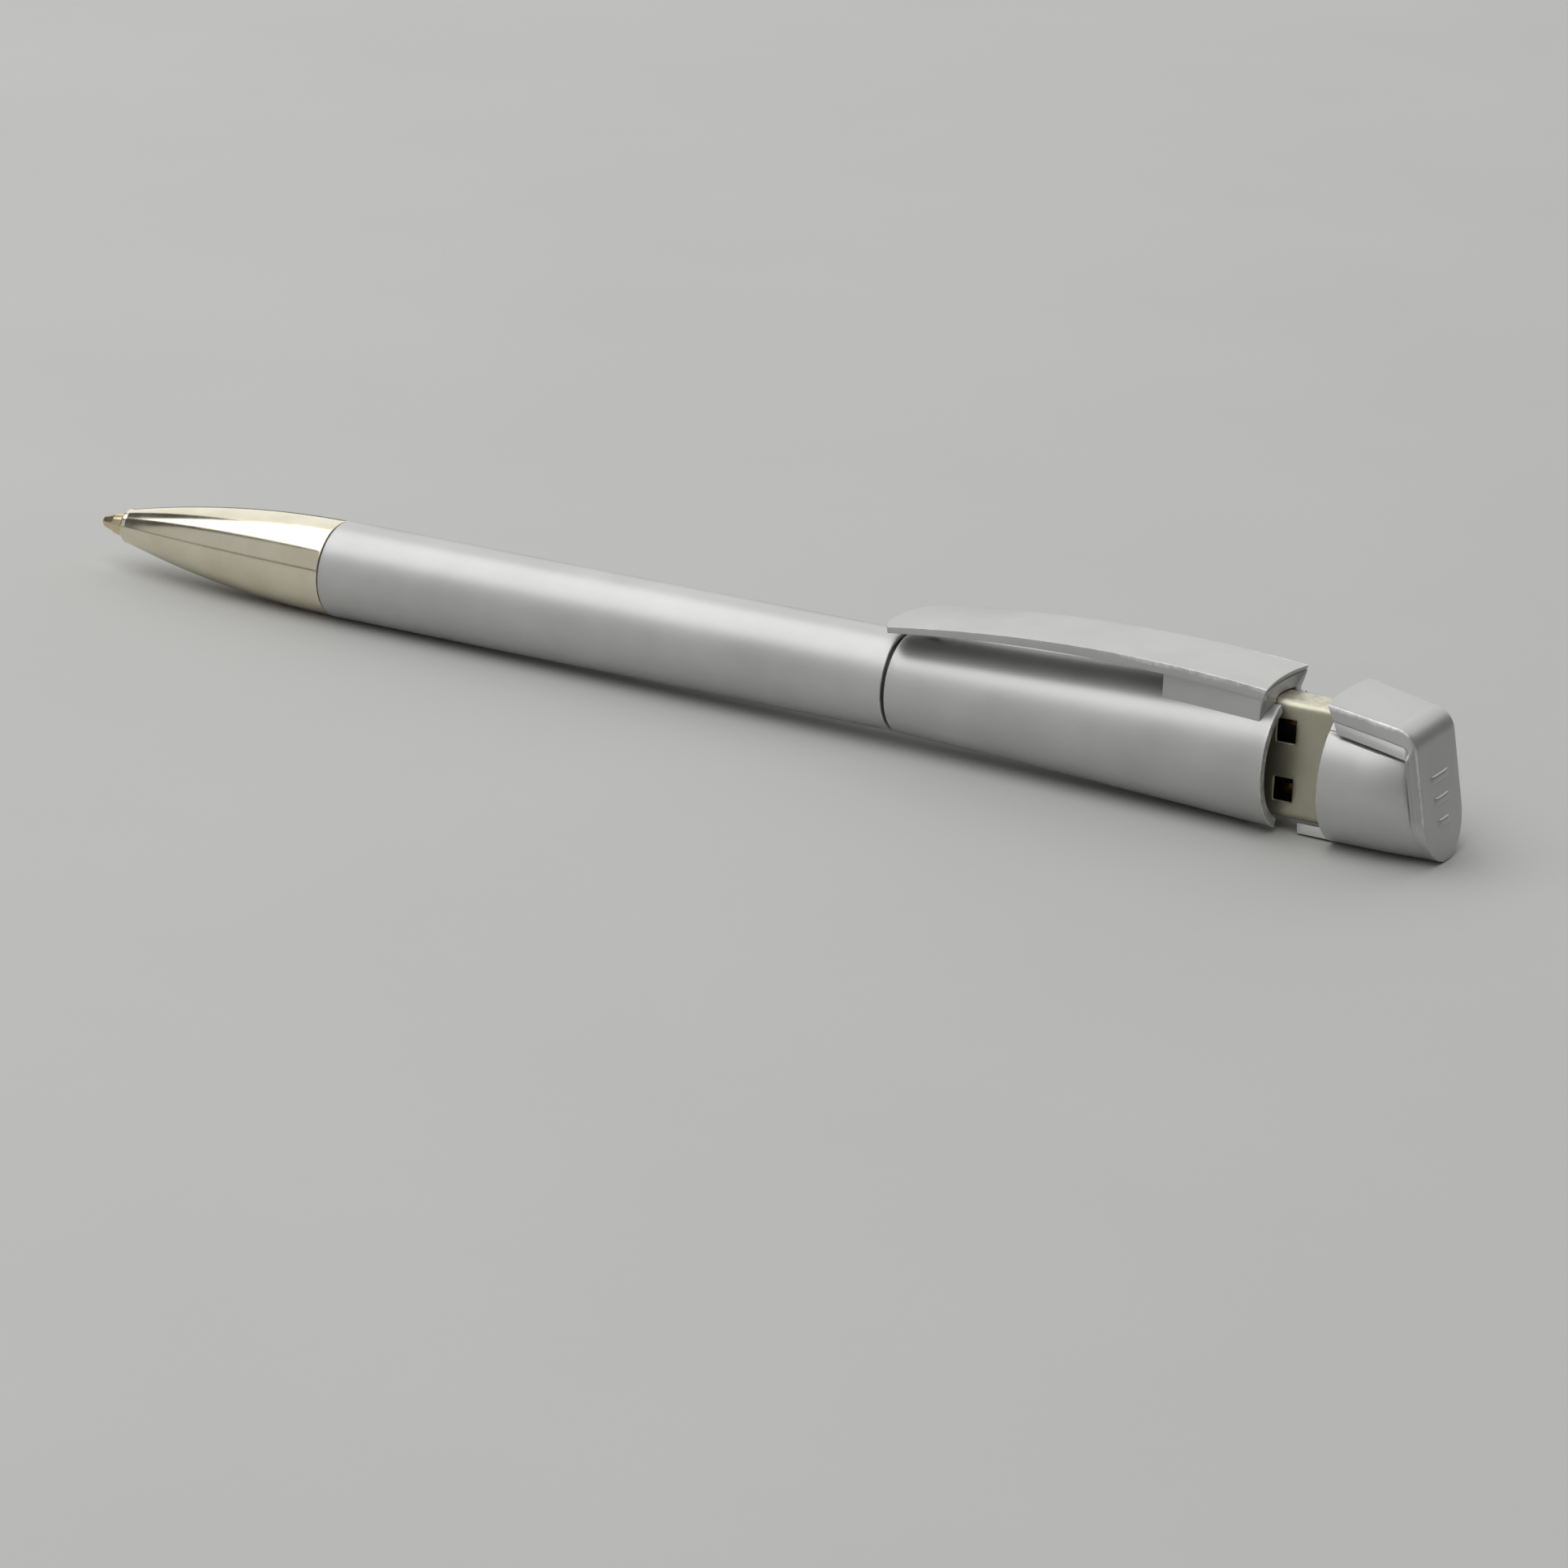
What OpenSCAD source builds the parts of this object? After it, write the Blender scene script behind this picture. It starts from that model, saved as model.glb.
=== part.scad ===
// Twist ballpoint pen whose tail end is a pull-out USB memory stick.
// The pen lies along X: the writing point is towards -X, the stick towards +X and the clip is on top (+Z).
// The origin is on the pen's axis, 3.4 mm in front of the twist joint, where a sleeve on the lower
// barrel ends.

/* [Barrel] */
// Diameter of the straight lower barrel
barrel_d = 10.4; // [10:0.1:11]
// Length of the lower barrel from the nose seam to the twist joint
lower_len = 68.1; // [66:0.1:72]
// Length of the upper barrel from the twist joint to its open end
upper_len = 42.7; // [42:0.1:44]
// Diameter of the upper barrel at its open end
tail_d = 13.9; // [13.7:0.1:14.2]
// Width of the dark groove at the twist joint
groove_w = 0.45; // [0.3:0.05:0.6]

/* [Nose] */
// Length of the metal nose from its front rim to the seam
nose_len = 28; // [27:0.5:29]
// Radius of the long arc of the nose
nose_arc_r = 116.5; // [112:0.5:125]
// Diameter of the hole that the writing point comes out of
nose_hole_d = 3.0; // [2.9:0.05:3.2]

/* [Refill] */
// How far the writing point stands out of the nose
tip_out = 3.3; // [3:0.1:3.6]
// Diameter of the writing ball
ball_d = 1.0; // [0.8:0.1:1.2]
// Diameter of the refill's tube
refill_d = 5.9; // [5.6:0.1:6]
// Travel of the refill for half a turn of the upper barrel
refill_travel = 4.5; // [4:0.1:4.6]

/* [Clip] */
// Width of the clip
clip_w = 9.6; // [9:0.1:9.8]
// Height of the clip's crown above the pen's axis
clip_top = 9.05; // [8.9:0.05:9.2]
// Radius of the clip's lengthwise curve
clip_arc_r = 175; // [150:5:220]
// Length of the free blade of the clip
blade_len = 31.8; // [30:0.1:33]

/* [USB stick] */
// How far the stick is pulled out of the barrel
stick_out = 5.9; // [5.5:0.1:6.5]
// Diameter of the stick's cap
cap_d = 14.1; // [14:0.1:14.2]
// Width of the USB plug, which is a standard size
plug_w = 12; // [12:0.01:12]
// Thickness of the USB plug, which is a standard size
plug_t = 4.5; // [4.5:0.01:4.5]
// Height of the plug's centre above the pen's axis
plug_lift = 0.55; // [0.5:0.05:0.6]

/* [Hidden] */
$fn = 96;

// Places along the pen, from the writing point to the tail
joint_x = 3.4;
seam_x = joint_x - lower_len;
rim_x = seam_x - nose_len;
tip_x = rim_x - tip_out;
tail_x = joint_x + upper_len;
cap_x = tail_x + stick_out;
half_groove = groove_w / 2;
barrel_r = barrel_d / 2;
tail_r = tail_d / 2;
cap_r = cap_d / 2;
gap = 0.05;

// Inner sizes of the barrels
spigot_r = 4.25;
spigot_len = 6.7;
bush_r = 4.2;
guide_r = 3.7;
guide_bore_r = 3.1;
cam_bore_r = 4.5;
cam_x = joint_x + 8.6;
cam_len = 14.2;
lug_x = joint_x + 11.9;
lug_len = 1.6;
lug_r = 4.3;
bush_back = 11.4;
guide_end_x = joint_x + 24.6;
ring_x = joint_x + 23.1;

// Refill
tip_r = 1.35;
refill_r = refill_d / 2;
shoulder_x = tip_x + 20.2;
refill_end_x = tip_x + 95.5;
spring_x = tip_x + 10.7;
spring_len = 9.3;
spring_r = 1.95;
wire_r = 0.2;
spring_turns = 7;

// Clip
blade_root_x = joint_x + 30.55;
blade_tip_x = blade_root_x - blade_len;
clip_crown_x = joint_x + 26.1;
clip_end_x = tail_x - 0.75;
clip_gap = 0.15;

// Stick
plug_front_x = cap_x - 10.65;
window_x = plug_front_x + 5.16;
shell_end_x = cap_x + 3.3;
sheet_t = 0.3;
pocket_x = plug_front_x - stick_out - 0.4;
pocket_w = plug_w + 0.25;
pocket_t = plug_t + 0.25;
end_slope = 0.18;
end_x = cap_x + 10.1;
board_x = cap_x + 2.1;
board_len = 5.6;
board_half_w = 4.8;
plate_t = 1.1;

// Outer radius of the nose at x
function nose_r(x) = barrel_r - 0.05 - pow(seam_x - x, 2) / (2 * nose_arc_r);

// Outer radius of the upper barrel at x: it flares gently from the joint to the tail
function upper_r(x) =
    let (u = x - joint_x, flare = tail_r - barrel_r - 0.02)
    barrel_r + 0.02 + flare * (0.8 * u / upper_len + 0.2 * pow(u / upper_len, 2));

// Inner radius of the upper barrel's tail socket at x
function socket_r(x) = 5.95 - 0.0415 * (tail_x - x);

// Height of the clip's top face at x
function clip_z(x) = clip_top - pow(x - clip_crown_x, 2) / (2 * clip_arc_r);

// Height of the cap band's top face at x: it falls a little faster than the clip
function band_z(x) = 8.1 - 0.125 * (x - cap_x + 0.6) - 0.0047 * pow(x - cap_x + 0.6, 2);

// Outline of a rectangle with round corners, centred
function round_rect(w, h, r) =
    [for (c = [[1, 1, 0], [-1, 1, 90], [-1, -1, 180], [1, -1, 270]], a = [0:15:90])
        [c[0] * (w / 2 - r) + r * cos(c[2] + a), c[1] * (h / 2 - r) + r * sin(c[2] + a)]];

// Solid of revolution about X from [x, r] points
module turned(pts) {
    rotate([0, 90, 0]) rotate_extrude() polygon([for (p = pts) [p[1], p[0]]]);
}

// Rod along X
module rod(x0, x1, r) {
    translate([x0, 0, 0]) rotate([0, 90, 0]) cylinder(h = x1 - x0, r = r);
}

// Tube along X
module pipe(x0, x1, r_out, r_in) {
    difference() {
        rod(x0, x1, r_out);
        rod(x0 - 1, x1 + 1, r_in);
    }
}

// Block between two corners
module block(a, b) {
    translate(a) cube(b - a);
}

// Side outline of [x, z] points carried across Y to a total width w
module side_cut(w, pts) {
    rotate([90, 0, 0]) linear_extrude(height = w, center = true) polygon(pts);
}

// Plan outline of [x, y] points carried up from z0 to z1
module plan_cut(z0, z1, pts) {
    translate([0, 0, z0]) linear_extrude(height = z1 - z0) polygon(pts);
}

// Bar along X with a round-cornered section, y_size by z_size, centred on the plug
module plug_bar(x0, x1, y_size, z_size, r) {
    translate([x0, 0, plug_lift])
        rotate([90, 0, 90])
            linear_extrude(height = x1 - x0)
                polygon(round_rect(y_size, z_size, r));
}

// Pocket that the plug slides in, with its wall cleared by a further amount below and above
module plug_pocket(below, above) {
    block([pocket_x, -pocket_t / 2, plug_lift - pocket_w / 2 - below],
          [tail_x + 2, pocket_t / 2, plug_lift + pocket_w / 2 + above]);
}

module nose_cone() {
    steps = 12;
    front_x = rim_x + 0.7;
    outer = [for (i = [0:steps]) let (x = front_x + (seam_x - 0.15 - front_x) * i / steps) [x, nose_r(x)]];
    color("tan") turned(concat(
        [[rim_x, nose_hole_d / 2], [rim_x, 1.65], [rim_x + 0.2, 1.87]],
        outer,
        [[seam_x, nose_r(seam_x) - 0.15], [seam_x, spigot_r], [seam_x + spigot_len, spigot_r],
         [seam_x + spigot_len, 3.35], [seam_x - 13.8, 3.35], [seam_x - 14.8, 2.45], [spring_x - 0.05, 2.45],
         [spring_x - 0.05, nose_hole_d / 2]]));
}

module lower_barrel() {
    end_x = joint_x - half_groove;
    color("silver") turned([
        [seam_x + gap, spigot_r + gap], [seam_x + gap, barrel_r - 0.12], [seam_x + 0.17, barrel_r],
        [end_x - 0.12, barrel_r], [end_x, barrel_r - 0.12], [end_x, bush_r + gap],
        [end_x - bush_back - 0.6, bush_r + gap], [end_x - bush_back - 1, 3.9],
        [seam_x + spigot_len + 0.8, 3.9], [seam_x + spigot_len + 0.4, spigot_r + gap]]);
}

module joint_ring() {
    color("black")
        pipe(joint_x - half_groove + 0.02, joint_x + half_groove - 0.03, barrel_r - 0.27, bush_r + 0.02);
}

module guide_tube() {
    color("white") difference() {
        turned([
            [joint_x - bush_back, guide_bore_r], [joint_x - bush_back, bush_r], [joint_x + 8.1, bush_r],
            [joint_x + 8.1, guide_r], [guide_end_x, guide_r], [guide_end_x, guide_bore_r]]);
        pipe(joint_x + 3.15, joint_x + 4.05, bush_r + 1, bush_r - 0.5);
        pipe(ring_x - 0.03, ring_x + 0.78, guide_r + 1, guide_r - 0.35);
        block([lug_x - 1.1, -6, -0.85], [lug_x + refill_travel + 1.2, 6, 0.85]);
    }
}

module friction_ring() {
    color("dimgray")
        translate([joint_x + 3.6, 0, 0])
            rotate([0, 90, 0])
                rotate_extrude() translate([bush_r - 0.14, 0]) circle(r = 0.36, $fn = 24);
}

module retaining_ring() {
    color("gray") difference() {
        pipe(ring_x, ring_x + 0.75, 4.3, guide_r - 0.3);
        block([ring_x - 1, -1.4, -6], [ring_x + 2, 1.4, 0]);
    }
}

// Wire swept along a helix: rings of 8 points round a path of 16 points a turn
module return_spring() {
    sides = 8;
    rings = spring_turns * 16;
    pitch = (spring_len - 2 * wire_r) / spring_turns;
    lead = atan2(pitch, 360 / 57.2958 * spring_r);
    pts = [for (i = [0:rings], j = [0:sides - 1])
        let (t = 360 * i / 16, a = 360 * j / sides, out = wire_r * cos(a), up = wire_r * sin(a))
        [spring_x + wire_r + pitch * i / 16 + up * cos(lead),
         (spring_r + out) * cos(t) + up * sin(lead) * sin(t),
         (spring_r + out) * sin(t) - up * sin(lead) * cos(t)]];
    walls = [for (i = [0:rings - 1], j = [0:sides - 1])
        let (k = (j + 1) % sides)
        [i * sides + j, i * sides + k, (i + 1) * sides + k, (i + 1) * sides + j]];
    front = [for (j = [0:sides - 1]) sides - 1 - j];
    back = [for (j = [0:sides - 1]) rings * sides + j];
    color("lightgray") polyhedron(points = pts, faces = concat([front], walls, [back]));
}

module refill_ball() {
    color("gray") translate([tip_x + ball_d / 2, 0, 0]) sphere(r = ball_d / 2);
}

module refill_tip() {
    color("goldenrod") difference() {
        turned([
            [tip_x + 0.35, 0], [tip_x + 0.35, 0.59], [tip_x + 1.7, 1.0], [tip_x + 1.9, 1.15],
            [tip_x + 3.2, tip_r], [tip_x + 24, tip_r], [tip_x + 24, 0]]);
        translate([tip_x + ball_d / 2, 0, 0]) sphere(r = ball_d / 2 + 0.03);
        rod(tip_x + ball_d / 2, tip_x + 25, 0.3);
    }
}

module refill_tube() {
    color("darkgray") turned([
        [shoulder_x, tip_r + 0.01], [shoulder_x, 1.8], [shoulder_x + 1.5, refill_r],
        [refill_end_x, refill_r], [refill_end_x, refill_r - 0.4],
        [shoulder_x + 4.2, refill_r - 0.4], [shoulder_x + 3.8, tip_r + 0.01]]);
}

module refill_ink() {
    color("midnightblue") rod(shoulder_x + 4.3, refill_end_x - 16, refill_r - 0.42);
}

module ink_follower() {
    color("khaki") rod(refill_end_x - 15.95, refill_end_x - 13, refill_r - 0.42);
}

module refill_end() {
    notches = 4;
    color("whitesmoke") difference() {
        union() {
            rod(refill_end_x - 5, refill_end_x + 0.1, refill_r - 0.42);
            rod(refill_end_x + 0.05, refill_end_x + 3, refill_r - 0.05);
        }
        rod(refill_end_x - 6, refill_end_x + 4, 0.6);
        for (i = [0:notches - 1])
            rotate([i * 180 / notches, 0, 0])
                block([refill_end_x + 1.6, -4, -0.3], [refill_end_x + 4, 4, 0.3]);
    }
}

module thrust_plunger() {
    start_x = refill_end_x + 3.1;
    color("ivory") difference() {
        union() {
            rod(start_x, lug_x + 8, guide_bore_r - 0.08);
            block([lug_x - lug_len / 2, -lug_r, -0.75], [lug_x + lug_len / 2, lug_r, 0.75]);
        }
        rod(start_x + 3, lug_x + 9, 1.6);
    }
}

module upper_barrel() {
    steps = 10;
    start_x = joint_x + half_groove;
    run = upper_len - half_groove - 0.24;
    outer = [for (i = [0:steps]) let (x = start_x + 0.12 + run * i / steps) [x, upper_r(x)]];
    color("silver") difference() {
        turned(concat(
            [[start_x, cam_bore_r], [start_x, upper_r(start_x) - 0.12]],
            outer,
            [[tail_x, tail_r - 0.15], [tail_x, socket_r(tail_x)], [joint_x + 27.2, socket_r(joint_x + 27.2)],
             [joint_x + 27.2, 4], [joint_x + 25.2, 4], [joint_x + 25.2, cam_bore_r]]));
        plug_pocket(0, 2);
        block([tail_x - 4.2, -2.7, -9], [tail_x + 1, 2.7, -5]);
    }
}

// The two helical slots are cut in steps of ten degrees, each a small block
module cam_sleeve() {
    steps = 18;
    slot = 1.9;
    color("ivory") difference() {
        pipe(cam_x, cam_x + cam_len, cam_bore_r - 0.05, guide_r + 0.08);
        for (side = [0, 180], i = [0:steps])
            rotate([side - 180 * i / steps, 0, 0])
                translate([lug_x + refill_travel * i / steps - slot / 2, 3.4, -slot / 2])
                    cube([slot, 2, slot]);
    }
}

module socket_liner() {
    start_x = joint_x + 29.6;
    end_x = tail_x - 2.5;
    color("dimgray") difference() {
        turned([
            [start_x, 0], [start_x, socket_r(start_x) - gap], [end_x, socket_r(end_x) - gap], [end_x, 0]]);
        plug_pocket(2, 2);
    }
}

module clip_blade() {
    steps = 12;
    arc_steps = 10;
    half_w = clip_w / 2;
    tip_bulge = 1.4;
    top = [for (i = [0:steps]) let (x = blade_tip_x + blade_len * i / steps) [x, clip_z(x)]];
    under = [for (i = [steps:-1:0])
        let (x = blade_tip_x + blade_len * i / steps) [x, clip_z(x) - 0.65 - 0.5 * i / steps]];
    nose = [for (i = [0:arc_steps])
        let (v = 1 - 2 * i / arc_steps) [blade_tip_x + tip_bulge * pow(abs(v), 2.6), half_w * v]];
    color("silver") union() {
        intersection() {
            side_cut(clip_w + 2, concat(top, under));
            plan_cut(0, clip_top + 1,
                     concat([[blade_root_x, -half_w - 0.1], [blade_root_x, half_w + 0.1]], nose));
        }
        bead_x = blade_tip_x + 4;
        intersection() {
            translate([bead_x, 0, 6.55]) sphere(r = 1.1);
            block([bead_x - 2, -2, 0], [bead_x + 2, 2, clip_z(bead_x) - 0.3]);
        }
    }
}

module clip_foot() {
    steps = 5;
    start_x = blade_root_x + clip_gap;
    half_w = clip_w / 2;
    run = clip_end_x - start_x;
    top = [for (i = [0:steps]) let (x = start_x + run * i / steps) [x, clip_z(x)]];
    plate_under = [for (i = [steps:-1:0])
        let (x = start_x + (run - 0.45) * i / steps) [x, clip_z(x) - plate_t]];
    end_arc = [for (v = [-1:0.25:1]) [clip_end_x - 0.4 * (1 - v * v), (half_w + 0.2) * v]];
    outer = [for (i = [0:steps]) let (x = start_x - 1 + (run + 4) * i / steps) [x, upper_r(x) + 0.02]];
    color("silver") difference() {
        union() {
            intersection() {
                side_cut(clip_w + 2, concat(top, plate_under));
                plan_cut(0, clip_top + 1,
                         concat([[start_x, half_w + 0.1], [start_x, -half_w - 0.1]], end_arc));
            }
            side_cut(clip_w - 0.7, concat(
                [[start_x, 4.2], [start_x, clip_z(start_x) - plate_t + 0.2]],
                [[clip_end_x - 0.7, clip_z(clip_end_x) - plate_t + 0.2], [clip_end_x - 1.1, 5.9],
                 [clip_end_x - 1.1, 4.2]]));
        }
        turned(concat([[start_x - 1, 0]], outer, [[start_x + run + 3, 0]]));
        plug_pocket(0, 0);
    }
}

module plug_shell() {
    window_half = 1;
    window_h = 2.4;
    color("wheat") difference() {
        plug_bar(plug_front_x, shell_end_x, plug_t, plug_w, 0.6);
        plug_bar(plug_front_x - 1, shell_end_x + 1, plug_t - 2 * sheet_t, plug_w - 2 * sheet_t, 0.35);
        for (side = [-1, 1])
            translate([window_x - window_half, -plug_t, plug_lift + 3 * side - window_h / 2])
                cube([2 * window_half, 2 * plug_t, window_h]);
    }
}

module plug_insulator() {
    base_x = plug_front_x + 11.2;
    color("black") union() {
        block([plug_front_x + 0.6, 0.08, plug_lift - 5.4], [base_x + 0.2, 1.9, plug_lift + 5.4]);
        plug_bar(base_x, base_x + 1.4, plug_t - 2 * sheet_t - 0.04, plug_w - 2 * sheet_t - 0.04, 0.35);
    }
}

module plug_contacts() {
    for (z = [-3.5, -1, 1, 3.5])
        color("gold")
            block([plug_front_x + (abs(z) > 2 ? 1.2 : 2.2), -0.07, plug_lift + z - 0.5],
                  [plug_front_x + 11.15, 0.06, plug_lift + z + 0.5]);
}

module circuit_board() {
    color("darkgreen") block([board_x, -0.4, plug_lift - board_half_w],
                              [board_x + board_len, 0.4, plug_lift + board_half_w]);
}

module memory_chip() {
    color("black") block([board_x + 1.5, 0.42, plug_lift - 3.8], [board_x + 5.6, 1.5, plug_lift + 3.8]);
}

module controller_chip() {
    color("black") block([board_x + 1.7, -1.3, plug_lift - 1.6], [board_x + 5.3, -0.42, plug_lift + 2]);
}

module clock_crystal() {
    color("silver") block([board_x + 1.9, -1.4, plug_lift - 4.6], [board_x + 5.1, -0.42, plug_lift - 3.2]);
}

module capacitors() {
    for (i = [0:3])
        color("tan")
            block([board_x + 1.7 + i, -0.9, plug_lift + 3.2], [board_x + 2.2 + i, -0.42, plug_lift + 4.2]);
}

module board_carrier() {
    start_x = cap_x + 1.2;
    color("dimgray") difference() {
        rod(start_x, start_x + 2.5, cap_r - 1.1);
        plug_bar(start_x - 1, start_x + 4, plug_t + 0.06, plug_w + 0.06, 0.6);
    }
}

// Side outline of the space in front of the cap's slanted end, at a distance d inside the end face
function end_line(d) = [[end_x - d + 9 * end_slope, -9], [end_x - d - 9 * end_slope, 9]];

// Outer form of the cap's round body, grown by g: a cylinder with a slanted end and a sloping flat
// on top that the band's plate lies on
module cap_core(g) {
    start_x = cap_x - 1;
    intersection() {
        rod(cap_x, end_x + 4, cap_r + g);
        side_cut(20, concat([[start_x, 9], [start_x, -9]], end_line(0.8 - g)));
        union() {
            side_cut(20, [[start_x, -9], [end_x + 4, -9], [end_x + 4, band_z(end_x + 4) - plate_t + g],
                          [start_x, band_z(start_x) - plate_t + g]]);
            for (side = [0, 1])
                mirror([0, side, 0]) block([start_x, clip_w / 2 + 0.02 - g, -9], [end_x + 4, 12, 9]);
        }
    }
}

module cap_body() {
    wall_x = cap_x + 7.9;
    color("silver") difference() {
        union() {
            intersection() {
                cap_core(0);
                turned([
                    [cap_x, 0], [cap_x, cap_r - 0.2], [cap_x + 0.2, cap_r], [end_x + 3, cap_r],
                    [end_x + 3, 0]]);
            }
            intersection() {
                pipe(cap_x - 3.9, cap_x + 1, cap_r - 0.05, 5.95);
                side_cut(5, [[cap_x - 3.9, -5], [cap_x - 3.4, -9], [cap_x + 1, -9], [cap_x + 1, -5]]);
            }
        }
        rod(cap_x - 5, wall_x, cap_r - 1.05);
        plug_bar(cap_x - 1, shell_end_x + 0.3, plug_t + 0.1, plug_w + 0.1, 0.6);
    }
}

module cap_band() {
    steps = 6;
    front_x = cap_x - 0.55;
    bend_x = cap_x + 8;
    half_w = clip_w / 2;
    skirt_h = 2.6;
    foot_z = -7;
    top = [for (i = [0:steps]) let (x = front_x + (bend_x - front_x) * i / steps) [x, band_z(x)]];
    corner = [for (a = [70:-20:10]) [bend_x - 0.25 + 1.15 * cos(a), band_z(bend_x) - 1.05 + 1.05 * sin(a)]];
    front_arc = [for (v = [-1:0.25:1]) [front_x + 0.4 * v * v, (half_w + 0.1) * v]];
    color("silver") difference() {
        intersection() {
            union() {
                side_cut(clip_w, concat(top, corner,
                    [[end_x - end_slope * foot_z, foot_z], [end_x - 0.78 - end_slope * foot_z, foot_z],
                     [end_x - 0.78 - end_slope * 4, 4], [cap_x + 0.1, 4.6], [cap_x + 0.1, cap_r + 0.1],
                     [front_x, cap_r + 0.1]]));
                side_cut(clip_w + 1, [
                    [cap_x + 0.3, band_z(cap_x) - plate_t - 0.5], [bend_x, band_z(bend_x) - plate_t - 0.5],
                    [end_x - 0.9 - end_slope * 4.6, 4.6], [bend_x, band_z(bend_x) - skirt_h],
                    [cap_x + 0.3, band_z(cap_x) - skirt_h]]);
            }
            plan_cut(-9, 9, concat(front_arc, [[cap_x + 0.2, half_w + 0.6], [end_x + 3, half_w + 0.6],
                                               [end_x + 3, -half_w - 0.6], [cap_x + 0.2, -half_w - 0.6]]));
            union() {
                block([cap_x - 2, -8, -2.3], [end_x + 4, 8, 9]);
                translate([0, 0, -2.3]) rod(cap_x - 2, end_x + 4, half_w);
            }
        }
        cap_core(0.02);
        plug_bar(cap_x - 1, shell_end_x + 0.3, plug_t + 0.1, plug_w + 0.1, 0.6);
    }
}

// Three raised ribs on the slanted end face
module end_mark() {
    slope = atan(end_slope);
    pitch = 2.2;
    for (i = [0:2])
        color("silver")
            translate([end_x, 0, 0])
                rotate([0, -slope, 0])
                    block([0.02, -2.1 + 0.4 * i, 0.9 - pitch * i], [0.3, 2.1 - 0.4 * i, 1.7 - pitch * i]);
}

nose_cone();
lower_barrel();
joint_ring();
guide_tube();
friction_ring();
retaining_ring();
return_spring();
refill_ball();
refill_tip();
refill_tube();
refill_ink();
ink_follower();
refill_end();
thrust_plunger();
upper_barrel();
cam_sleeve();
socket_liner();
clip_blade();
clip_foot();
plug_shell();
plug_insulator();
plug_contacts();
circuit_board();
memory_chip();
controller_chip();
clock_crystal();
capacitors();
board_carrier();
cap_body();
cap_band();
end_mark();
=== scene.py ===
# %% [markdown]
# # A twist ballpoint pen with a memory stick for a tail
# The CAD model comes first. It fixes every size and every moving body, so this lesson only dresses it. Each
# step makes one piece of the pen as a surface worked out with numpy, and gives it a finish made of nodes.
# The pen lies along X, with its writing point towards -X, its clip on top and its memory stick towards +X.

# %% Load the frame
import math

import bmesh
import bpy
import numpy as np
from mathutils import Matrix, Vector


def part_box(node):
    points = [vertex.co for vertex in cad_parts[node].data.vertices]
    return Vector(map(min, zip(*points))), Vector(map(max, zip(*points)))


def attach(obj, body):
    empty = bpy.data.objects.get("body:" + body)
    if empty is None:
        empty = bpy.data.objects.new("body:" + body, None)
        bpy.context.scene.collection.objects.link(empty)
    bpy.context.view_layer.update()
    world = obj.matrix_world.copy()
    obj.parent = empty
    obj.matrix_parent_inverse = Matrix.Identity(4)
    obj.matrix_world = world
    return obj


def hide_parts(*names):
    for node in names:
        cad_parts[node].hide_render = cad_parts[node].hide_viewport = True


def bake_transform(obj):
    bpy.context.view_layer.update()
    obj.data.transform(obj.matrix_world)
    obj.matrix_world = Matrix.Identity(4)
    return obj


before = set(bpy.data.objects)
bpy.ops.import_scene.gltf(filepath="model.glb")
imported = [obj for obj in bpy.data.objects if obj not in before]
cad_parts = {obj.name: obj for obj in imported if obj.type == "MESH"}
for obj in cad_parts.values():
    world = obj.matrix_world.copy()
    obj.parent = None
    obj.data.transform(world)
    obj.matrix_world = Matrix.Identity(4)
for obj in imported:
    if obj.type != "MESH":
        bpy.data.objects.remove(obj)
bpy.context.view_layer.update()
MM = 0.001

# %% [markdown]
# ## Places on the pen
# Shapes are easier to think about in millimetres, so the formulas use them and one factor turns the finished
# points to metres. The places where parts begin and end are read from the boxes of the CAD parts, which keeps
# every new surface where the CAD has it.

# %% Read the places
X, Y, Z = 0, 1, 2


def start(node, axis=X):
    """Lowest coordinate of a CAD part along an axis, in millimetres."""
    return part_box(node)[0][axis] / MM


def end(node, axis=X):
    """Highest coordinate of a CAD part along an axis, in millimetres."""
    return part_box(node)[1][axis] / MM


rim_x = start("nose_cone")
seam_x = start("lower_barrel") - 0.05
lower_end, upper_start = end("lower_barrel"), start("upper_barrel")
joint_x = (lower_end + upper_start) / 2
tail_x = end("upper_barrel")
cap_x = start("cap_band") + 0.55
barrel_r, tail_r, cap_r = end("lower_barrel", Y), end("upper_barrel", Y), 7.05
print(f"pen from {start('refill_ball'):.1f} to {end('cap_band'):.1f} mm, twist joint at {joint_x:.2f} mm")

# %% [markdown]
# ## The camera
# A long lens from about 59 cm keeps the pen's lines nearly parallel, as in a catalogue picture. The camera stands
# to the right of the pen's middle and looks down on it, so that the tail comes towards the viewer. It turns a
# little about its own axis, because the pen lies slightly nose-down.

# %% Place the camera
azimuth, elevation, roll = (math.radians(a) for a in (28.494, 18.693, 2.127))
target, distance = Vector((-0.010195, 0.0, -0.013634)), 0.58695
back = Vector((math.sin(azimuth) * math.cos(elevation), -math.cos(azimuth) * math.cos(elevation),
               math.sin(elevation)))
side = Vector((math.cos(azimuth), math.sin(azimuth), 0.0))
up = back.cross(side)
camera = bpy.data.objects.new("camera", bpy.data.cameras.new("camera"))
camera.data.sensor_width, camera.data.lens = 36.0, 130.45
camera.data.clip_start, camera.data.clip_end = 0.05, 20.0
right_turned = side * math.cos(roll) + up * math.sin(roll)
up_turned = up * math.cos(roll) - side * math.sin(roll)
turn = Matrix((right_turned, up_turned, back)).transposed().to_4x4()
camera.matrix_world = Matrix.Translation(target + back * distance) @ turn
bpy.context.scene.collection.objects.link(camera)
bpy.context.scene.camera = camera
print("camera", [round(v, 3) for v in camera.location])

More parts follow.
